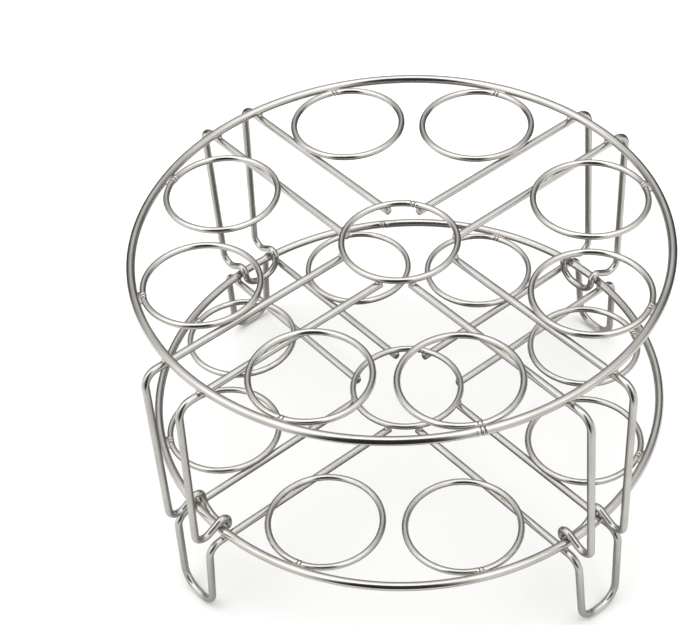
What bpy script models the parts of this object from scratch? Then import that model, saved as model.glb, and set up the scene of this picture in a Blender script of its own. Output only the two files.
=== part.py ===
"""Two-tier egg cooking rack: a stackable stand of welded round steel wire.

Each tier has one outer ring, nine egg rings (one in the centre and eight against the
outer ring) and four hairpin legs. A leg starts under the centre ring, runs out under the
egg rings and the outer ring as two arms, turns down just outside it and closes in a loop.
The lower tier's loops are feet. The upper tier's legs are longer, and their loops are
hooks that ride over the lower outer ring and hang inside it, so the upper tier lifts off.

Metres, +Z up, the feet stand on z = 0 and the rack is centred on the Z axis.
A wire that would touch another keeps a small gap to it.
"""

from math import cos, pi, radians, sin, sqrt, tan

import bmesh
import bpy
from mathutils import Matrix, Vector

# Driving dimensions
OUTER_RING_RADIUS = 0.0900      # to the wire's centre line
EGG_RING_RADIUS = 0.0195        # to the wire's centre line
RING_WIRE_RADIUS = 0.0015
EGG_WIRE_RADIUS = 0.0011
LEG_WIRE_RADIUS = 0.0013
LOWER_RING_HEIGHT = 0.0360
TIER_SPACING = 0.0704
GAP = 0.0003                    # left between wires that are welded or resting together

# Egg rings: a pair in each quadrant between two legs, either side of its middle
QUADRANT_MIDDLES = (-pi / 2, 0.0, pi / 2, pi)
PAIR_HALF_ANGLE = radians(20.1)

# Legs: one on each diagonal
LEG_ANGLES = {
    "front_left": radians(-135),
    "front_right": radians(-45),
    "back_right": radians(45),
    "back_left": radians(135),
}
ARM_HALF_SPACING = 0.0093       # the two arms of a leg, either side of its diagonal
ARM_END_INSET = 0.0008          # the arms' cut ends stop this far inside the centre ring
SHOULDER_BEND_RADIUS = 0.0050   # where an arm turns down outside the outer ring

# Lower legs: a plain loop for a foot, splayed outwards a little
LOWER_SHOULDER_REACH = 0.0963   # from the rack's axis, along the diagonal
FOOT_REACH = 0.0980
FOOT_HALF_WIDTH = 0.0078
FOOT_FLAT_HALF_LENGTH = 0.0010  # the part of the loop that rests on the table

# Upper legs: splayed too, with a loop that is bent in over the lower outer ring
UPPER_SHOULDER_REACH = 0.0985
HOOK_ELBOW_REACH = 0.1000
HOOK_HALF_WIDTH = 0.0074
HOOK_REACH = 0.0864             # where the loop hangs, inside the lower outer ring
HOOK_ELBOW_DROP = 0.0022        # the elbow's corner, below the lower outer ring
HOOK_RISE = radians(30)         # slope of the stretch that climbs over the ring
HOOK_ELBOW_RADIUS = 0.0038
HOOK_CREST_RADIUS = 0.0023
HOOK_LOOP_DROP = 0.0047         # the loop's lowest point, below the lower outer ring
HOOK_FLAT_HALF_LENGTH = 0.0012

# Facets
WIRE_SIDES = 8
OUTER_RING_SEGMENTS = 72
EGG_RING_SEGMENTS = 32
BEND_STEP = radians(15)
# Swells a faceted wire until its section has the round wire's area, and so its weight
SECTION_SWELL = sqrt(2 * pi / (WIRE_SIDES * sin(2 * pi / WIRE_SIDES)))

# Worked out from the above
ARM_DROP = RING_WIRE_RADIUS + LEG_WIRE_RADIUS + GAP
EGG_RING_DROP = ARM_DROP - LEG_WIRE_RADIUS - EGG_WIRE_RADIUS - GAP
EGG_CIRCLE_RADIUS = OUTER_RING_RADIUS - RING_WIRE_RADIUS - EGG_WIRE_RADIUS - GAP - EGG_RING_RADIUS
FOOT_HEIGHT = LEG_WIRE_RADIUS * SECTION_SWELL * cos(pi / WIRE_SIDES)


def clear_scene():
    for thing in list(bpy.data.objects):
        bpy.data.objects.remove(thing, do_unlink=True)


def make_steel(name, color, roughness):
    material = bpy.data.materials.new(name)
    material.use_nodes = True
    shader = material.node_tree.nodes["Principled BSDF"]
    shader.inputs["Base Color"].default_value = (*color, 1.0)
    shader.inputs["Metallic"].default_value = 1.0
    shader.inputs["Roughness"].default_value = roughness
    return material


def make_tier(name, ring_height):
    """An empty on the rack's axis, at the height of the tier's outer ring."""
    tier = bpy.data.objects.new(name, None)
    tier.empty_display_size = OUTER_RING_RADIUS
    tier.location.z = ring_height
    bpy.context.scene.collection.objects.link(tier)
    return tier


def add_node(name, mesh, material, tier):
    """One sub-part, placed in its tier's own coordinates."""
    mesh.materials.append(material)
    mesh.shade_smooth()
    mesh.set_sharp_from_angle(angle=radians(50))
    node = bpy.data.objects.new(name, mesh)
    bpy.context.scene.collection.objects.link(node)
    node.parent = tier
    return node


def ring_mesh(name, ring_radius, wire_radius, segments):
    """A closed ring of round wire, spun about the Z axis."""
    section = []
    bm = bmesh.new()
    for side in range(WIRE_SIDES):
        angle = 2 * pi * side / WIRE_SIDES
        reach = ring_radius + wire_radius * SECTION_SWELL * cos(angle)
        section.append(bm.verts.new((reach, 0.0, wire_radius * SECTION_SWELL * sin(angle))))
    edges = [bm.edges.new((section[i - 1], section[i])) for i in range(WIRE_SIDES)]
    bmesh.ops.spin(bm, geom=section + edges, axis=(0, 0, 1), angle=2 * pi,
                   steps=segments, use_merge=True)
    bmesh.ops.recalc_face_normals(bm, faces=bm.faces)
    mesh = bpy.data.meshes.new(name)
    bm.to_mesh(mesh)
    bm.free()
    return mesh


def bend(corners):
    """A wire's centre line: straight runs between corners, each corner bent to its radius.

    corners is a list of (point, bend radius); the first and last radius are not used.
    """
    line = [corners[0][0]]
    for (before, _), (corner, radius), (after, _) in zip(corners, corners[1:], corners[2:]):
        into = (corner - before).normalized()
        out = (after - corner).normalized()
        turn = into.angle(out)
        start = corner - into * radius * tan(turn / 2)
        centre = start + (out - into * into.dot(out)).normalized() * radius
        axis = into.cross(out)
        steps = max(2, round(turn / BEND_STEP))
        for step in range(steps + 1):
            line.append(centre + Matrix.Rotation(turn * step / steps, 3, axis) @ (start - centre))
    line.append(corners[-1][0])
    return line


def half_wire(bm, line, wire_radius):
    """Sweeps the wire's section along a line that starts on the plane y = 0, heading +Y."""
    across = Vector((0, 0, 1))
    loops = []
    for i, point in enumerate(line):
        into = (point - line[i - 1]).normalized() if i else Vector((0, 1, 0))
        out = (line[i + 1] - point).normalized() if i + 1 < len(line) else into
        along = (into + out).normalized()
        across = (across - along * across.dot(along)).normalized()
        beside = along.cross(across)
        stretch = 1 / sqrt((1 + into.dot(out)) / 2)
        hinge = into.cross(out)
        miter = hinge.cross(along).normalized() if hinge.length > 1e-6 else across
        loop = []
        for side in range(WIRE_SIDES):
            angle = 2 * pi * (side + 0.5) / WIRE_SIDES
            spoke = (across * cos(angle) + beside * sin(angle)) * wire_radius * SECTION_SWELL
            spoke += miter * miter.dot(spoke) * (stretch - 1)
            loop.append(bm.verts.new(point + spoke))
        loops.append(loop)
    for near, far in zip(loops, loops[1:]):
        for side in range(WIRE_SIDES):
            bm.faces.new((near[side - 1], near[side], far[side], far[side - 1]))
    bm.faces.new(loops[-1])


def leg_mesh(name, half_line):
    """A hairpin of round wire: one half swept, the other half mirrored onto it."""
    bm = bmesh.new()
    half_wire(bm, half_line, LEG_WIRE_RADIUS)
    bmesh.ops.mirror(bm, geom=bm.verts[:] + bm.edges[:] + bm.faces[:], matrix=Matrix(),
                     merge_dist=1e-6, axis="Y")
    bmesh.ops.recalc_face_normals(bm, faces=bm.faces)
    mesh = bpy.data.meshes.new(name)
    bm.to_mesh(mesh)
    bm.free()
    return mesh


def arm_end():
    """The cut end of an arm, under the centre ring. +X is the leg's diagonal."""
    end_radius = EGG_RING_RADIUS - ARM_END_INSET
    return Vector((sqrt(end_radius**2 - ARM_HALF_SPACING**2), ARM_HALF_SPACING, -ARM_DROP))


def bend_radius_for(half_width, flat_half_length, slope):
    """The bend that leaves a flat of this half length in the middle of a loop."""
    return (half_width - flat_half_length) / tan((pi / 2 - slope) / 2)


def foot_line():
    """Half of a lower leg, from the middle of its foot to the end of its arm."""
    bottom = FOOT_HEIGHT - LOWER_RING_HEIGHT
    taper = (ARM_HALF_SPACING - FOOT_HALF_WIDTH) / (-ARM_DROP - bottom)
    foot_bend = bend_radius_for(FOOT_HALF_WIDTH, FOOT_FLAT_HALF_LENGTH, taper)
    return bend([
        (Vector((FOOT_REACH, 0, bottom)), 0),
        (Vector((FOOT_REACH, FOOT_HALF_WIDTH, bottom)), foot_bend),
        (Vector((LOWER_SHOULDER_REACH, ARM_HALF_SPACING, -ARM_DROP)), SHOULDER_BEND_RADIUS),
        (arm_end(), 0),
    ])


def hook_line():
    """Half of an upper leg, from the middle of its hook to the end of its arm."""
    elbow = -TIER_SPACING - HOOK_ELBOW_DROP
    crest = elbow + (HOOK_ELBOW_REACH - HOOK_REACH) * tan(HOOK_RISE)
    bottom = -TIER_SPACING - HOOK_LOOP_DROP
    loop_bend = bend_radius_for(HOOK_HALF_WIDTH, HOOK_FLAT_HALF_LENGTH, 0)
    return bend([
        (Vector((HOOK_REACH, 0, bottom)), 0),
        (Vector((HOOK_REACH, HOOK_HALF_WIDTH, bottom)), loop_bend),
        (Vector((HOOK_REACH, HOOK_HALF_WIDTH, crest)), HOOK_CREST_RADIUS),
        (Vector((HOOK_ELBOW_REACH, HOOK_HALF_WIDTH, elbow)), HOOK_ELBOW_RADIUS),
        (Vector((UPPER_SHOULDER_REACH, ARM_HALF_SPACING, -ARM_DROP)), SHOULDER_BEND_RADIUS),
        (arm_end(), 0),
    ])


def add_outer_ring(tier, steel):
    name = tier.name.replace("tier", "outer_ring")
    mesh = ring_mesh(name, OUTER_RING_RADIUS, RING_WIRE_RADIUS, OUTER_RING_SEGMENTS)
    add_node(name, mesh, steel, tier)


def add_egg_rings(tier, steel):
    centre_name = tier.name.replace("tier", "egg_ring_centre")
    mesh = ring_mesh(centre_name, EGG_RING_RADIUS, EGG_WIRE_RADIUS, EGG_RING_SEGMENTS)
    add_node(centre_name, mesh, steel, tier).location.z = -EGG_RING_DROP
    angles = [middle + side * PAIR_HALF_ANGLE for middle in QUADRANT_MIDDLES for side in (-1, 1)]
    for number, angle in enumerate(angles, start=1):
        name = tier.name.replace("tier", f"egg_ring_{number}")
        mesh = ring_mesh(name, EGG_RING_RADIUS, EGG_WIRE_RADIUS, EGG_RING_SEGMENTS)
        ring = add_node(name, mesh, steel, tier)
        reach = Vector((EGG_CIRCLE_RADIUS, 0, -EGG_RING_DROP))
        ring.location = Matrix.Rotation(angle, 3, "Z") @ reach
        ring.rotation_euler.z = angle


def add_legs(tier, steel, half_line):
    for corner, angle in LEG_ANGLES.items():
        name = tier.name.replace("tier", f"leg_{corner}")
        leg = add_node(name, leg_mesh(name, half_line), steel, tier)
        leg.rotation_euler.z = angle


def build_rack():
    clear_scene()
    ring_steel = make_steel("outer_ring_steel", (0.66, 0.65, 0.63), 0.16)
    egg_ring_steel = make_steel("egg_ring_steel", (0.68, 0.67, 0.65), 0.18)
    leg_steel = make_steel("leg_steel", (0.62, 0.62, 0.60), 0.24)
    lower = make_tier("lower_tier", LOWER_RING_HEIGHT)
    upper = make_tier("upper_tier", LOWER_RING_HEIGHT + TIER_SPACING)
    for tier, half_line in ((lower, foot_line()), (upper, hook_line())):
        add_outer_ring(tier, ring_steel)
        add_egg_rings(tier, egg_ring_steel)
        add_legs(tier, leg_steel, half_line)


build_rack()
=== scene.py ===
"""Looks for a two-tier egg rack of polished stainless steel wire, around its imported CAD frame.

Every CAD node is replaced by a finer wire on the same centre line. A ring runs a little
unevenly and closes in a butt joint, a leg has two sheared ends, and beads of weld metal fill
the gaps where wires are welded. Metres, +Z up, the feet stand on the floor and the rack is
centred on the Z axis.
"""

from math import cos, exp, pi, radians, sin, sqrt, tan

import bmesh
import bpy
from mathutils import Matrix, Vector, noise


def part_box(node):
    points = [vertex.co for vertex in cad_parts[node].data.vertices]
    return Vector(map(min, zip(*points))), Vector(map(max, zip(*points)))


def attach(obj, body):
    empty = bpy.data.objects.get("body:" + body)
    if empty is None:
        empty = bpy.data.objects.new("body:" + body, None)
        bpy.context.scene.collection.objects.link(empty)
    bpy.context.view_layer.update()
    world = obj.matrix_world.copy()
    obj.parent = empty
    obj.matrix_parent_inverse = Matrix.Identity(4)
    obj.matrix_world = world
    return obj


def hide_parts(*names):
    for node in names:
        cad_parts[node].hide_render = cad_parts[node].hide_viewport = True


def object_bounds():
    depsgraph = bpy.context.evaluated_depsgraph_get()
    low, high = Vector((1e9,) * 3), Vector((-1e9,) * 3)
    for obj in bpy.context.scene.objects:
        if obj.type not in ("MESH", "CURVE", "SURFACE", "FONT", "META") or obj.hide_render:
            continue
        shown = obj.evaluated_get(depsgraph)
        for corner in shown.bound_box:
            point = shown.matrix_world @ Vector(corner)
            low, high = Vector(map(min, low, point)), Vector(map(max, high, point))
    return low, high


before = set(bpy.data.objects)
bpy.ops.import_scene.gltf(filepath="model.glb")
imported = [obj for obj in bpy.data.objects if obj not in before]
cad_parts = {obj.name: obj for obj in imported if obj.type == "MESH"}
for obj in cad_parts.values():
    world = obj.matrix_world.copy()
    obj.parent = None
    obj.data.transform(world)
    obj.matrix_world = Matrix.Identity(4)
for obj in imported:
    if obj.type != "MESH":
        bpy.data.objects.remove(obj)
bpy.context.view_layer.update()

TIERS = ("lower", "upper")
QUADRANT_MIDDLES = (-pi / 2, 0.0, pi / 2, pi)
PAIR_HALF_ANGLE = radians(20.1)
EGG_RING_NUMBERS = range(1, 9)
LEG_ANGLES = {
    "front_left": radians(-135),
    "front_right": radians(-45),
    "back_right": radians(45),
    "back_left": radians(135),
}

# The legs' route, the same as the CAD part's
LEG_WIRE_RADIUS = 0.0013
TIER_SPACING = 0.0704
ARM_DROP = 0.0031               # the arms' centre lines, below their tier's outer ring
ARM_HALF_SPACING = 0.0093
ARM_END_INSET = 0.0008
SHOULDER_BEND_RADIUS = 0.0050
LOWER_SHOULDER_REACH = 0.0963
FOOT_REACH = 0.0980
FOOT_HALF_WIDTH = 0.0078
FOOT_FLAT_HALF_LENGTH = 0.0010
UPPER_SHOULDER_REACH = 0.0985
HOOK_ELBOW_REACH = 0.1000
HOOK_HALF_WIDTH = 0.0074
HOOK_REACH = 0.0864
HOOK_ELBOW_DROP = 0.0022
HOOK_RISE = radians(30)
HOOK_ELBOW_RADIUS = 0.0038
HOOK_CREST_RADIUS = 0.0023
HOOK_LOOP_DROP = 0.0047
HOOK_FLAT_HALF_LENGTH = 0.0012

# The CAD wires are eight-sided and swollen by this much, to keep a round wire's area
CAD_SIDES = 8
CAD_SWELL = sqrt(2 * pi / (CAD_SIDES * sin(2 * pi / CAD_SIDES)))

# Fineness of the visual wires
WIRE_SIDES = 24
RING_STATION_STEP = 0.0022      # along the wire
LEG_STATION_STEP = 0.0026
BEND_STEP = radians(7)
SHARP_EDGE = radians(38)        # shading is smooth across anything shallower

# Unevenness of a ring bent by hand
WAVER_SIZE = 0.035              # distance from one wave to the next
WAVER_DEPTH = 0.00012

# Where in the noise each axis starts, so that the three drift apart from each other
WAVER_OFFSETS = (Vector((3.1, 7.7, 1.3)), Vector((9.2, 2.4, 6.8)), Vector((5.5, 8.9, 4.6)))


def body_name(tier):
    return f"{tier}_tier"


def ring_facts(node):
    """Centre, ring radius and wire radius of a CAD ring, worked out from its box."""
    low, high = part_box(node)
    half = (high - low) / 2
    return (low + high) / 2, half.x - half.z, half.z / CAD_SWELL


def egg_ring_angle(number):
    """The direction of egg ring 1 to 8 from the rack's axis."""
    side = 1 if number % 2 == 0 else -1
    return QUADRANT_MIDDLES[(number - 1) // 2] + side * PAIR_HALF_ANGLE


def waver(point):
    """A small drift, so that a ring isn't perfectly true."""
    drift = [noise.noise(point / WAVER_SIZE + offset) for offset in WAVER_OFFSETS]
    return Vector(drift) * WAVER_DEPTH


# ---------------------------------------------------------------------------- wire


def tangents_along(points, closed):
    """The wire's direction at each point."""
    count = len(points)
    tangents = []
    for i in range(count):
        ahead = points[(i + 1) % count] if closed or i + 1 < count else points[i]
        behind = points[i - 1] if closed or i else points[i]
        tangents.append((ahead - behind).normalized())
    return tangents


def add_stations(bm, points, radii, closed):
    """A circle of vertices round each point, turned as little as possible from the last."""
    tangents = tangents_along(points, closed)
    across = Vector((0, 0, 1)) if closed else tangents[0].orthogonal().normalized()
    stations = []
    for point, tangent, radius in zip(points, tangents, radii):
        across = (across - tangent * across.dot(tangent)).normalized()
        beside = tangent.cross(across)
        station = []
        for side in range(WIRE_SIDES):
            turn = 2 * pi * side / WIRE_SIDES
            offset = across * cos(turn) + beside * sin(turn)
            station.append(bm.verts.new(point + offset * radius))
        stations.append(station)
    return stations


def distances_along(points):
    """Each point's distance along the wire, and at the end the way back to the first."""
    along = [0.0]
    for point, following in zip(points, points[1:] + points[:1]):
        along.append(along[-1] + (following - point).length)
    return along


def cap_wire(bm, uv, station, middle_point, along, girth):
    """Closes one end of a wire with a fan of triangles."""
    middle = bm.verts.new(middle_point)
    for side in range(WIRE_SIDES):
        face = bm.faces.new((station[side - 1], station[side], middle))
        for loop in face.loops:
            loop[uv].uv = (along, girth * side / WIRE_SIDES)


def lay_wire(bm, points, radii, closed=False):
    """Sweeps a round section along points, with one radius for each point.

    The UV map holds metres along the wire and metres round it, for the drawing marks.
    """
    uv = bm.loops.layers.uv.verify()
    stations = add_stations(bm, points, radii, closed)
    along = distances_along(points)
    girth = 2 * pi * max(radii)
    count = len(points)
    for i in range(count if closed else count - 1):
        near, far = stations[i], stations[(i + 1) % count]
        for side in range(WIRE_SIDES):
            after = (side + 1) % WIRE_SIDES
            face = bm.faces.new((near[side], near[after], far[after], far[side]))
            places = ((i, side), (i, side + 1), (i + 1, side + 1), (i + 1, side))
            for loop, (station, step) in zip(face.loops, places):
                loop[uv].uv = (along[station], girth * step / WIRE_SIDES)
    if not closed:
        cap_wire(bm, uv, stations[0], points[0], along[0], girth)
        cap_wire(bm, uv, stations[-1], points[-1], along[count - 1], girth)


def finish_mesh(bm, name, material, node, tier):
    """Turns bm into a piece that rides on its tier and, where node is given, stands for it."""
    bmesh.ops.recalc_face_normals(bm, faces=bm.faces)
    mesh = bpy.data.meshes.new(name)
    bm.to_mesh(mesh)
    bm.free()
    mesh.materials.append(material)
    mesh.shade_smooth()
    mesh.set_sharp_from_angle(angle=SHARP_EDGE)
    piece = bpy.data.objects.new(name, mesh)
    bpy.context.scene.collection.objects.link(piece)
    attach(piece, body_name(tier))
    if node:
        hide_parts(node)


# --------------------------------------------------------------------------- rings

# Distances from the middle of a butt joint, and the share of the wire's radius there:
# a collar of weld metal, a groove on each side of it, and ends that the welding has upset
JOINT_PROFILE = (
    (0.00000, 1.10),
    (0.00022, 1.09),
    (0.00040, 1.04),
    (0.00050, 0.94),
    (0.00055, 0.72),
    (0.00070, 0.70),
    (0.00076, 0.93),
    (0.00090, 1.04),
    (0.00120, 1.07),
    (0.00170, 1.04),
    (0.00240, 1.00),
)
JOINT_COLLAR = 0.00060          # half its width
JOINT_SLIP = 0.00009            # each end meets the collar this far out of line
JOINT_SLIP_REACH = 0.0060       # the slip dies away over about this far

# Where the joints of the outer rings and the centre rings face
OUTER_JOINT_ANGLES = {"lower": radians(100), "upper": radians(-70)}
CENTRE_JOINT_ANGLE = radians(80)


def ring_stations(ring_radius):
    """Distances along a ring from its butt joint, close together beside the joint."""
    around = 2 * pi * ring_radius
    start = JOINT_PROFILE[-1][0]
    plain = around - 2 * start
    count = round(plain / RING_STATION_STEP)
    stations = list(JOINT_PROFILE)
    stations += [(start + plain * i / count, 1.0) for i in range(1, count)]
    stations += [(around - distance, share) for distance, share in reversed(JOINT_PROFILE[1:])]
    return stations


def joint_slip(signed):
    """How far a ring is out of line, at a signed distance from the middle of its joint."""
    beyond = abs(signed) - JOINT_COLLAR
    slip = JOINT_SLIP * exp(-beyond / JOINT_SLIP_REACH) if beyond > 0 else 0.0
    return slip if signed > 0 else -slip


def build_ring(node, tier, joint_angle, material):
    """A ring of wire, closed by a butt joint that faces joint_angle."""
    centre, ring_radius, wire_radius = ring_facts(node)
    around = 2 * pi * ring_radius
    points = []
    radii = []
    for distance, share in ring_stations(ring_radius):
        angle = joint_angle + distance / ring_radius
        outward = Vector((cos(angle), sin(angle), 0.0))
        signed = distance if distance < around / 2 else distance - around
        point = centre + outward * (ring_radius + joint_slip(signed))
        points.append(point + waver(point))
        radii.append(wire_radius * share)
    bm = bmesh.new()
    lay_wire(bm, points, radii, closed=True)
    finish_mesh(bm, f"{node}_wire", material, node, tier)


# ---------------------------------------------------------------------------- legs

# Distances from a sheared end, and the share of the wire's radius there
CUT_PROFILE = (
    (0.00000, 0.80),
    (0.00006, 0.90),
    (0.00016, 0.97),
    (0.00032, 1.00),
)


def bend(corners):
    """A wire's centre line: straight runs between corners, each corner bent to its radius.

    corners is a list of (point, bend radius); the first and last radius are not used.
    """
    line = [corners[0][0]]
    for (before, _), (corner, radius), (after, _) in zip(corners, corners[1:], corners[2:]):
        into = (corner - before).normalized()
        out = (after - corner).normalized()
        turn = into.angle(out)
        start = corner - into * radius * tan(turn / 2)
        centre = start + (out - into * into.dot(out)).normalized() * radius
        axis = into.cross(out)
        steps = max(3, round(turn / BEND_STEP))
        for step in range(steps + 1):
            turned = Matrix.Rotation(turn * step / steps, 3, axis) @ (start - centre)
            line.append(centre + turned)
    line.append(corners[-1][0])
    return line


def arm_end(egg_ring_radius):
    """Where an arm is cut off, just inside the centre ring."""
    reach = egg_ring_radius - ARM_END_INSET
    return Vector((sqrt(reach**2 - ARM_HALF_SPACING**2), ARM_HALF_SPACING, -ARM_DROP))


def foot_line(egg_ring_radius, ring_height):
    """Half a lower leg, from the middle of its foot loop to an arm's cut end.

    Like every leg's line, it is measured from its tier's ring height.
    """
    foot_height = LEG_WIRE_RADIUS * CAD_SWELL * cos(pi / CAD_SIDES)
    bottom = foot_height - ring_height
    foot_bend = FOOT_HALF_WIDTH - FOOT_FLAT_HALF_LENGTH
    return bend([
        (Vector((FOOT_REACH, 0.0, bottom)), 0),
        (Vector((FOOT_REACH, FOOT_HALF_WIDTH, bottom)), foot_bend),
        (Vector((LOWER_SHOULDER_REACH, ARM_HALF_SPACING, -ARM_DROP)), SHOULDER_BEND_RADIUS),
        (arm_end(egg_ring_radius), 0),
    ])


def hook_line(egg_ring_radius):
    """Half an upper leg, from the middle of its hook loop to an arm's cut end."""
    elbow = -TIER_SPACING - HOOK_ELBOW_DROP
    crest = elbow + (HOOK_ELBOW_REACH - HOOK_REACH) * tan(HOOK_RISE)
    bottom = -TIER_SPACING - HOOK_LOOP_DROP
    loop_bend = HOOK_HALF_WIDTH - HOOK_FLAT_HALF_LENGTH
    return bend([
        (Vector((HOOK_REACH, 0.0, bottom)), 0),
        (Vector((HOOK_REACH, HOOK_HALF_WIDTH, bottom)), loop_bend),
        (Vector((HOOK_REACH, HOOK_HALF_WIDTH, crest)), HOOK_CREST_RADIUS),
        (Vector((HOOK_ELBOW_REACH, HOOK_HALF_WIDTH, elbow)), HOOK_ELBOW_RADIUS),
        (Vector((UPPER_SHOULDER_REACH, ARM_HALF_SPACING, -ARM_DROP)), SHOULDER_BEND_RADIUS),
        (arm_end(egg_ring_radius), 0),
    ])


def resample(line, step):
    """Splits a line's long runs into pieces of about step."""
    dense = [line[0]]
    for before, after in zip(line, line[1:]):
        pieces = max(1, round((after - before).length / step))
        dense += [before.lerp(after, i / pieces) for i in range(1, pieces + 1)]
    return dense


def cut_end(line):
    """The points of a sheared end at the start of a line, and their shares of the radius."""
    heading = (line[1] - line[0]).normalized()
    points = [line[0] + heading * distance for distance, _ in CUT_PROFILE]
    return points, [share for _, share in CUT_PROFILE]


def build_leg(node, tier, half, leg_angle, ring_height, material):
    """A hairpin leg: the line half and its mirror image, turned to leg_angle."""
    mirrored = [Vector((p.x, -p.y, p.z)) for p in half[1:]]
    line = resample(mirrored[::-1] + half, LEG_STATION_STEP)
    start_points, start_shares = cut_end(line)
    end_points, end_shares = cut_end(line[::-1])
    points = start_points + line[1:-1] + end_points[::-1]
    shares = start_shares + [1.0] * (len(line) - 2) + end_shares[::-1]
    place = Matrix.Translation((0, 0, ring_height)) @ Matrix.Rotation(leg_angle, 4, "Z")
    points = [place @ point for point in points]
    bm = bmesh.new()
    lay_wire(bm, points, [LEG_WIRE_RADIUS * share for share in shares])
    finish_mesh(bm, f"{node}_wire", material, node, tier)


# --------------------------------------------------------------------------- welds

BEAD_SEGMENTS = 20
BEAD_RINGS = 10
BEAD_ROUGHNESS = 0.10
BEAD_LUMPS = 1.7                # how closely its lumps follow each other
BEAD_VARIETY = 900              # how soon one bead's lumps differ from the next one's

# The beads' half sizes: away from the rack's axis or along an arm, across that, and upright
OUTER_ARM_BEAD = (0.00150, 0.00140, 0.00060)
CENTRE_ARM_BEAD = (0.00130, 0.00130, 0.00060)
EGG_ARM_BEAD = (0.00280, 0.00080, 0.00055)
RING_BEAD = (0.00075, 0.00300, 0.00080)
RING_BEAD_SHIFT = 0.0001        # outwards, from an egg ring's outermost point


def bead_vertex(bm, place, half_sizes, unit):
    """A vertex of a bead, in the direction unit from its middle."""
    centre = place.translation
    lump = noise.noise(unit * BEAD_LUMPS + centre * BEAD_VARIETY)
    swell = 1 + BEAD_ROUGHNESS * lump
    return bm.verts.new(place @ Vector([a * b * swell for a, b in zip(unit, half_sizes)]))


def add_bead(bm, place, half_sizes):
    """A small cushion of weld metal, uneven like a real one, with half_sizes along its axes."""
    rows = []
    for ring in range(1, BEAD_RINGS):
        polar = pi * ring / BEAD_RINGS
        row = []
        for step in range(BEAD_SEGMENTS):
            turn = 2 * pi * step / BEAD_SEGMENTS
            unit = Vector((sin(polar) * cos(turn), sin(polar) * sin(turn), cos(polar)))
            row.append(bead_vertex(bm, place, half_sizes, unit))
        rows.append(row)
    top = bead_vertex(bm, place, half_sizes, Vector((0, 0, 1)))
    bottom = bead_vertex(bm, place, half_sizes, Vector((0, 0, -1)))
    for step in range(BEAD_SEGMENTS):
        bm.faces.new((rows[0][step - 1], rows[0][step], top))
        bm.faces.new((rows[-1][step], rows[-1][step - 1], bottom))
        for near, far in zip(rows, rows[1:]):
            bm.faces.new((near[step - 1], near[step], far[step], far[step - 1]))


def spot(angle, x, y, z):
    """A place at x, y, z in a frame turned by angle round the rack's axis."""
    return Matrix.Rotation(angle, 4, "Z") @ Matrix.Translation((x, y, z))


def signed_turn(angle):
    """angle, brought between half a turn back and half a turn on."""
    return (angle + pi) % (2 * pi) - pi


def arm_welds(tier):
    """Where a tier's arms are welded under its outer ring and its centre ring."""
    ring_centre, outer_radius, outer_wire = ring_facts(f"{tier}_outer_ring")
    _, egg_radius, _ = ring_facts(f"{tier}_egg_ring_centre")
    under_outer = ring_centre.z - outer_wire - (ARM_DROP - outer_wire - LEG_WIRE_RADIUS) / 2
    over_arm = ring_centre.z - ARM_DROP + LEG_WIRE_RADIUS
    welds = []
    for angle in LEG_ANGLES.values():
        for y in (-ARM_HALF_SPACING, ARM_HALF_SPACING):
            at_outer = sqrt(outer_radius**2 - y**2)
            welds.append((spot(angle, at_outer, y, under_outer), OUTER_ARM_BEAD))
            at_centre = sqrt(egg_radius**2 - y**2)
            welds.append((spot(angle, at_centre, y, over_arm), CENTRE_ARM_BEAD))
    return welds


def egg_ring_welds(tier):
    """Where a tier's egg rings are welded to its outer ring and to the nearest arm."""
    ring_centre, _, _ = ring_facts(f"{tier}_outer_ring")
    _, egg_radius, egg_wire = ring_facts(f"{tier}_egg_ring_centre")
    over_arm = ring_centre.z - ARM_DROP + LEG_WIRE_RADIUS
    welds = []
    for number in EGG_RING_NUMBERS:
        angle = egg_ring_angle(number)
        centre, _, _ = ring_facts(f"{tier}_egg_ring_{number}")
        reach = centre.xy.length
        outside = reach + egg_radius + egg_wire + RING_BEAD_SHIFT
        welds.append((spot(angle, outside, 0.0, centre.z), RING_BEAD))
        leg = min(LEG_ANGLES.values(), key=lambda a: abs(signed_turn(a - angle)))
        away = signed_turn(angle - leg)
        y = ARM_HALF_SPACING if away > 0 else -ARM_HALF_SPACING
        welds.append((spot(leg, reach * cos(away), y, over_arm), EGG_ARM_BEAD))
    return welds


def build_welds(tier, material):
    """All of a tier's weld beads, as one piece."""
    bm = bmesh.new()
    for place, half_sizes in arm_welds(tier) + egg_ring_welds(tier):
        add_bead(bm, place, half_sizes)
    finish_mesh(bm, f"{tier}_welds", material, None, tier)


# ----------------------------------------------------------------------- materials

UNIT = (0.0, 1.0)

# Each wire's bright and dull colours, its least and most roughness, and its marks' strength
WIRE_STEELS = {
    "outer_ring_steel": ((0.62, 0.605, 0.58), (0.53, 0.515, 0.49), (0.09, 0.15), 0.35),
    "egg_ring_steel": ((0.63, 0.615, 0.59), (0.54, 0.525, 0.50), (0.10, 0.17), 0.35),
    "leg_steel": ((0.60, 0.59, 0.57), (0.51, 0.50, 0.48), (0.14, 0.24), 0.5),
}

# Noise scales in waves per metre. The drawing marks' are along the wire and round it
DRAWING_SCALE = (70, 3800, 1)
CLOUD_SCALE = (60, 60, 60)
SPECK_SCALE = (900, 900, 900)
WELD_GRAIN_SCALE = (1400, 1400, 1400)
WELD_PATCH_SCALE = (300, 300, 300)

# The range of a noise over which what it drives changes
PIT_RANGE = (0.66, 0.76)
SHADE_RANGE = (0.35, 0.68)
ROUGHNESS_RANGE = (0.3, 0.7)
SCUFF_RANGE = (0.35, 0.75)
TINT_RANGE = (0.4, 0.65)

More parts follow.
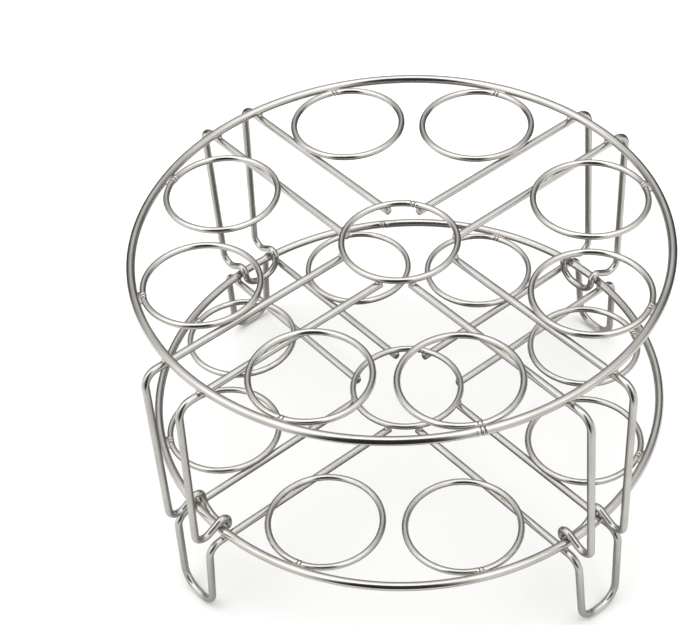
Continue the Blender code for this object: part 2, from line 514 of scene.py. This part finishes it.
SCUFF_ROUGHNESS = (0.0, 0.06)   # what the drawing marks add to a wire's roughness
MARK_DEPTH = 0.00002
WELD_COLORS = ((0.60, 0.58, 0.55), (0.47, 0.42, 0.36))
WELD_ROUGHNESS = (0.20, 0.38)
WELD_GRAIN_STRENGTH = 0.5
WELD_GRAIN_DEPTH = 0.00006


def mapped_noise(nodes, links, source, scale, detail, roughness=0.5):
    """A noise texture whose coordinates are source stretched by scale."""
    mapping = nodes.new("ShaderNodeMapping")
    mapping.inputs["Scale"].default_value = scale
    links.new(source, mapping.inputs["Vector"])
    texture = nodes.new("ShaderNodeTexNoise")
    texture.inputs["Scale"].default_value = 1.0
    texture.inputs["Detail"].default_value = detail
    texture.inputs["Roughness"].default_value = roughness
    links.new(mapping.outputs["Vector"], texture.inputs["Vector"])
    return texture.outputs["Fac"]


def ranged(nodes, links, source, given, wanted, smooth=False):
    """source, stretched from the range given to the range wanted and held inside it."""
    stretch = nodes.new("ShaderNodeMapRange")
    if smooth:
        stretch.interpolation_type = "SMOOTHSTEP"
    stretch.inputs["From Min"].default_value, stretch.inputs["From Max"].default_value = given
    stretch.inputs["To Min"].default_value, stretch.inputs["To Max"].default_value = wanted
    links.new(source, stretch.inputs["Value"])
    return stretch.outputs["Result"]


def mixed_color(nodes, links, factor, first, second):
    """A colour between first and second."""
    mix = nodes.new("ShaderNodeMix")
    mix.data_type = "RGBA"
    mix.inputs["A"].default_value = (*first, 1.0)
    mix.inputs["B"].default_value = (*second, 1.0)
    links.new(factor, mix.inputs["Factor"])
    return mix.outputs["Result"]


def joined(nodes, links, first, second, operation="ADD"):
    """Two values put together by a sum, a difference or a product."""
    math = nodes.new("ShaderNodeMath")
    math.operation = operation
    links.new(first, math.inputs[0])
    links.new(second, math.inputs[1])
    return math.outputs["Value"]


def new_material(name):
    """A material with its nodes, its links and its shader."""
    material = bpy.data.materials.new(name)
    material.use_nodes = True
    nodes = material.node_tree.nodes
    return material, nodes, material.node_tree.links, nodes["Principled BSDF"]


def add_bump(nodes, links, height, strength, depth):
    """Relief of up to depth metres where height is 1."""
    bump = nodes.new("ShaderNodeBump")
    bump.inputs["Strength"].default_value = strength
    bump.inputs["Distance"].default_value = depth
    links.new(height, bump.inputs["Height"])
    links.new(bump.outputs["Normal"], nodes["Principled BSDF"].inputs["Normal"])


def wire_steel(name, bright, dull, roughness, marks):
    """Drawn and polished wire: fine marks along it, cloudy patches, a few pits."""
    material, nodes, links, shader = new_material(name)
    shader.inputs["Metallic"].default_value = 1.0
    coordinates = nodes.new("ShaderNodeTexCoord")
    surface = coordinates.outputs["UV"]
    place = coordinates.outputs["Object"]
    drawing = mapped_noise(nodes, links, surface, DRAWING_SCALE, detail=3.0, roughness=0.6)
    clouds = mapped_noise(nodes, links, place, CLOUD_SCALE, detail=3.0)
    specks = mapped_noise(nodes, links, place, SPECK_SCALE, detail=2.0)
    pits = ranged(nodes, links, specks, PIT_RANGE, UNIT)
    shade = ranged(nodes, links, clouds, SHADE_RANGE, UNIT)
    color = mixed_color(nodes, links, shade, bright, dull)
    links.new(color, shader.inputs["Base Color"])
    base = ranged(nodes, links, clouds, ROUGHNESS_RANGE, roughness)
    scuff = ranged(nodes, links, drawing, SCUFF_RANGE, SCUFF_ROUGHNESS)
    links.new(joined(nodes, links, base, scuff), shader.inputs["Roughness"])
    height = joined(nodes, links, drawing, pits, "SUBTRACT")
    add_bump(nodes, links, height, marks, MARK_DEPTH)
    return material


def weld_steel():
    """Weld metal: duller and rougher than the wire, with a faint straw tint."""
    material, nodes, links, shader = new_material("weld_steel")
    shader.inputs["Metallic"].default_value = 1.0
    place = nodes.new("ShaderNodeTexCoord").outputs["Object"]
    grain = mapped_noise(nodes, links, place, WELD_GRAIN_SCALE, detail=4.0, roughness=0.6)
    patches = mapped_noise(nodes, links, place, WELD_PATCH_SCALE, detail=2.0)
    tint = ranged(nodes, links, patches, TINT_RANGE, UNIT)
    color = mixed_color(nodes, links, tint, *WELD_COLORS)
    links.new(color, shader.inputs["Base Color"])
    roughness = ranged(nodes, links, grain, ROUGHNESS_RANGE, WELD_ROUGHNESS)
    links.new(roughness, shader.inputs["Roughness"])
    add_bump(nodes, links, grain, WELD_GRAIN_STRENGTH, WELD_GRAIN_DEPTH)
    return material


# --------------------------------------------------------------------------- build


def build_rings(tier, outer_steel, egg_steel):
    """A tier's outer ring, its centre ring and the eight egg rings round that."""
    build_ring(f"{tier}_outer_ring", tier, OUTER_JOINT_ANGLES[tier], outer_steel)
    build_ring(f"{tier}_egg_ring_centre", tier, CENTRE_JOINT_ANGLE, egg_steel)
    for number in EGG_RING_NUMBERS:
        build_ring(f"{tier}_egg_ring_{number}", tier, egg_ring_angle(number), egg_steel)


def build_legs(tier, steel):
    """A tier's four legs: with feet under the lower tier, with hooks under the upper one."""
    ring_centre, _, _ = ring_facts(f"{tier}_outer_ring")
    _, egg_radius, _ = ring_facts(f"{tier}_egg_ring_centre")
    half = hook_line(egg_radius) if tier == "upper" else foot_line(egg_radius, ring_centre.z)
    for where, angle in LEG_ANGLES.items():
        build_leg(f"{tier}_leg_{where}", tier, half, angle, ring_centre.z, steel)


def build_rack():
    steels = {name: wire_steel(name, *facts) for name, facts in WIRE_STEELS.items()}
    weld = weld_steel()
    for tier in TIERS:
        build_rings(tier, steels["outer_ring_steel"], steels["egg_ring_steel"])
        build_legs(tier, steels["leg_steel"])
        build_welds(tier, weld)


# --------------------------------------------------------------------------- stage

CAMERA_AZIMUTH = radians(6.0)
CAMERA_ELEVATION = radians(41.41)
CAMERA_DISTANCE = 0.587         # from the middle of the upper outer ring
CAMERA_ROLL = radians(-2.99)
CAMERA_PAN = radians(1.95)
CAMERA_TILT = radians(-2.36)
CAMERA_LENS = 93.1              # in mm, as its sensor's width
SENSOR_WIDTH = 36.0
CAMERA_NEAREST = 0.01
CAMERA_FURTHEST = 20.0

# Sectors round the rack's axis: the direction of the middle, and how far from that the
# soft edge ends and begins
FRONT = CAMERA_AZIMUTH - pi / 2
FRONT_SECTOR = (FRONT - radians(9), radians(33), radians(17))
BACK_SECTOR = (FRONT + pi, radians(24), radians(12))
OUTER_ZONE = (0.055, 0.135)     # distances from the rack's axis, over which it begins

MATTE_ROUGHNESS = 0.9
MATTE_SPECULAR = 0.1
FLOOR_REACH = 4.0
FLOOR_COLOR = (0.86, 0.86, 0.86)

CARD_REACH = 3.5
FRONT_CARD_EDGE = -0.175
BACK_CARD_EDGE = 0.15
CARD_HEIGHT = 0.004
APRON_RADIUS = 0.30
APRON_HEIGHT = 0.002
APRON_SIDES = 64
BLACK = (0.02, 0.02, 0.02)
DARK_GREY = (0.03, 0.028, 0.025)
DIM_GREY = (0.14, 0.135, 0.13)
GREY = (0.56, 0.555, 0.54)
PALE_GREY = (0.70, 0.695, 0.68)
# painted shade: the apron's colour beneath the rack, which the wires mirror
PAINTED_SHADE_GREY = (0.14, 0.13, 0.12)

# The tent's glow, and the parts of the unit direction that it depends on
OVERHEAD_GLOW = 1.32
HORIZON_RANGE = (-0.1, 0.6)     # from front to back
HORIZON_GLOW = (1.0, 0.06)
BACK_GLOW = 0.2
DARK_FRONT_RANGE = (0.90, 0.997)    # upwards, over which the dark front closes
DARK_FRONT_DEPTH = 0.97
SIDE_RANGE = (-1.0, 1.0)        # from left to right
SIDE_GAIN = (1.12, 0.82)
TENT_COLOR = (1.0, 0.995, 0.985)
BACKDROP_COLOR = (0.94, 0.94, 0.935)

SOFTBOX_HEIGHT = 1.4
SOFTBOX_SIDE = 2.4
SOFTBOX_POWER = 2.3             # for each square metre of it


def add_camera():
    """A camera at the photograph's angle, aimed beside the upper ring's middle."""
    target, _, _ = ring_facts("upper_outer_ring")
    around = Matrix.Rotation(CAMERA_AZIMUTH, 4, "Z")
    back = around @ Vector((0.0, -cos(CAMERA_ELEVATION), sin(CAMERA_ELEVATION)))
    rise = Matrix.Rotation(pi / 2 - CAMERA_ELEVATION, 4, "X")
    roll = Matrix.Rotation(CAMERA_ROLL, 4, "Z")
    pan = Matrix.Rotation(CAMERA_PAN, 4, "Y")
    tilt = Matrix.Rotation(CAMERA_TILT, 4, "X")
    data = bpy.data.cameras.new("camera")
    data.sensor_width = SENSOR_WIDTH
    data.lens = CAMERA_LENS
    data.clip_start = CAMERA_NEAREST
    data.clip_end = CAMERA_FURTHEST
    camera = bpy.data.objects.new("camera", data)
    bpy.context.scene.collection.objects.link(camera)
    place = Matrix.Translation(target + back * CAMERA_DISTANCE)
    camera.matrix_world = place @ around @ rise @ roll @ pan @ tilt
    bpy.context.scene.camera = camera


def add_sheet(name, corners, material):
    """A flat sheet of the stage."""
    mesh = bpy.data.meshes.new(name)
    mesh.from_pydata([Vector(c) for c in corners], [], [list(range(len(corners)))])
    mesh.materials.append(material)
    sheet = bpy.data.objects.new(name, mesh)
    bpy.context.scene.collection.objects.link(sheet)
    return sheet


def matte(name, color):
    """A material and its nodes and links, in one plain colour without gloss."""
    material, nodes, links, shader = new_material(name)
    shader.inputs["Base Color"].default_value = (*color, 1.0)
    shader.inputs["Roughness"].default_value = MATTE_ROUGHNESS
    shader.inputs["Specular IOR Level"].default_value = MATTE_SPECULAR
    return material, nodes, links


def level_rectangle(side, near, far, height):
    """The outline of a level rectangle, as wide to the left as to the right."""
    return [(-side, near, height), (side, near, height), (side, far, height), (-side, far, height)]


def level_disc(radius, height):
    """The outline of a level disc round the rack's axis."""
    turns = [2 * pi * step / APRON_SIDES for step in range(APRON_SIDES)]
    return [(radius * cos(turn), radius * sin(turn), height) for turn in turns]


def add_floor():
    """A pale floor under the feet."""
    outline = level_rectangle(FLOOR_REACH, -FLOOR_REACH, FLOOR_REACH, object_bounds()[0].z)
    add_sheet("floor", outline, matte("floor_white", FLOOR_COLOR)[0])


def flattened(nodes, links, source):
    """source without its height."""
    flat = nodes.new("ShaderNodeVectorMath")
    flat.operation = "MULTIPLY"
    flat.inputs[1].default_value = (1.0, 1.0, 0.0)
    links.new(source, flat.inputs[0])
    return flat.outputs["Vector"]


def sector(nodes, links, source, middle, edge, core):
    """1 where source points within core of middle's direction, 0 beyond edge from it."""
    heading = nodes.new("ShaderNodeVectorMath")
    heading.operation = "NORMALIZE"
    links.new(flattened(nodes, links, source), heading.inputs[0])
    towards = nodes.new("ShaderNodeVectorMath")
    towards.operation = "DOT_PRODUCT"
    towards.inputs[1].default_value = (cos(middle), sin(middle), 0.0)
    links.new(heading.outputs["Vector"], towards.inputs[0])
    cosines = (cos(edge), cos(core))
    return ranged(nodes, links, towards.outputs["Value"], cosines, UNIT, smooth=True)


def front_sector(nodes, links, source):
    return sector(nodes, links, source, *FRONT_SECTOR)


def back_sector(nodes, links, source):
    return sector(nodes, links, source, *BACK_SECTOR)


def outer_zone(nodes, links, source):
    """0 beneath the rack, 1 well outside it."""
    reach = nodes.new("ShaderNodeVectorMath")
    reach.operation = "LENGTH"
    links.new(flattened(nodes, links, source), reach.inputs[0])
    return ranged(nodes, links, reach.outputs["Value"], OUTER_ZONE, UNIT, smooth=True)


def card_paint(name, zone, inside, elsewhere):
    """Matte card, in one colour inside a zone and another elsewhere."""
    material, nodes, links = matte(name, elsewhere)
    place = nodes.new("ShaderNodeTexCoord").outputs["Object"]
    color = mixed_color(nodes, links, zone(nodes, links, place), elsewhere, inside)
    links.new(color, nodes["Principled BSDF"].inputs["Base Color"])
    return material


def reflection_card(name, outline, material):
    """A card laid just above the floor, which only reflections see."""
    card = add_sheet(name, outline, material)
    card.visible_camera = False
    card.visible_diffuse = False
    card.visible_shadow = False


def add_reflection_cards():
    """Cards that give the wires their bands: black in front, dark behind, grey at the sides."""
    front = level_rectangle(CARD_REACH, -CARD_REACH, FRONT_CARD_EDGE, CARD_HEIGHT)
    reflection_card("front_card", front, card_paint("front_card_paint", front_sector, BLACK, GREY))
    back = level_rectangle(CARD_REACH, BACK_CARD_EDGE, CARD_REACH, CARD_HEIGHT)
    reflection_card("back_card", back,
                    card_paint("back_card_paint", back_sector, DIM_GREY, DARK_GREY))
    # The apron is pale round the rack and painted with shade beneath it, for the wires to mirror
    apron = level_disc(APRON_RADIUS, APRON_HEIGHT)
    reflection_card("apron_card", apron,
                    card_paint("apron_card_paint", outer_zone, PALE_GREY, PAINTED_SHADE_GREY))


def tent_glow(nodes, links):
    """The tent's brightness in each direction: bright overhead, dim at the back, open in front."""
    heading = nodes.new("ShaderNodeTexCoord").outputs["Generated"]
    axes = nodes.new("ShaderNodeSeparateXYZ")
    links.new(heading, axes.inputs["Vector"])
    across, ahead, upwards = axes.outputs["X"], axes.outputs["Y"], axes.outputs["Z"]
    squared = joined(nodes, links, upwards, upwards, "MULTIPLY")
    overhead = ranged(nodes, links, squared, UNIT, (0.0, OVERHEAD_GLOW))
    horizon = ranged(nodes, links, ahead, HORIZON_RANGE, HORIZON_GLOW, smooth=True)
    behind = ranged(nodes, links, back_sector(nodes, links, heading), UNIT, (0.0, BACK_GLOW))
    glow = joined(nodes, links, joined(nodes, links, overhead, horizon), behind)
    low = ranged(nodes, links, upwards, DARK_FRONT_RANGE, (DARK_FRONT_DEPTH, 0.0), smooth=True)
    dark = joined(nodes, links, front_sector(nodes, links, heading), low, "MULTIPLY")
    lit = ranged(nodes, links, dark, UNIT, (1.0, 0.0))
    gain = ranged(nodes, links, across, SIDE_RANGE, SIDE_GAIN)
    return joined(nodes, links, joined(nodes, links, glow, lit, "MULTIPLY"), gain, "MULTIPLY")


def add_world():
    """A white light tent, which lights the rack and is mirrored in it.

    It has an open, dark front. Behind the floor, the camera sees a plain backdrop instead.
    """
    world = bpy.data.worlds.new("room")
    world.use_nodes = True
    nodes = world.node_tree.nodes
    links = world.node_tree.links
    tent = nodes["Background"]
    tent.inputs["Color"].default_value = (*TENT_COLOR, 1.0)
    links.new(tent_glow(nodes, links), tent.inputs["Strength"])
    backdrop = nodes.new("ShaderNodeBackground")
    backdrop.inputs["Color"].default_value = (*BACKDROP_COLOR, 1.0)
    seen = nodes.new("ShaderNodeMixShader")
    links.new(nodes.new("ShaderNodeLightPath").outputs["Is Camera Ray"], seen.inputs["Fac"])
    links.new(tent.outputs["Background"], seen.inputs[1])
    links.new(backdrop.outputs["Background"], seen.inputs[2])
    links.new(seen.outputs["Shader"], nodes["World Output"].inputs["Surface"])
    bpy.context.scene.world = world


def add_softbox():
    """A square soft light straight overhead, facing down. The wires don't mirror it."""
    data = bpy.data.lights.new("overhead", "AREA")
    data.shape = "SQUARE"
    data.size = SOFTBOX_SIDE
    data.energy = SOFTBOX_POWER * SOFTBOX_SIDE**2
    light = bpy.data.objects.new("overhead", data)
    light.location = (0.0, 0.0, SOFTBOX_HEIGHT)
    light.visible_glossy = False
    bpy.context.scene.collection.objects.link(light)


def build_stage():
    add_camera()
    add_floor()
    add_reflection_cards()
    add_world()
    add_softbox()
    bpy.context.scene.view_settings.view_transform = "Standard"


build_rack()
build_stage()
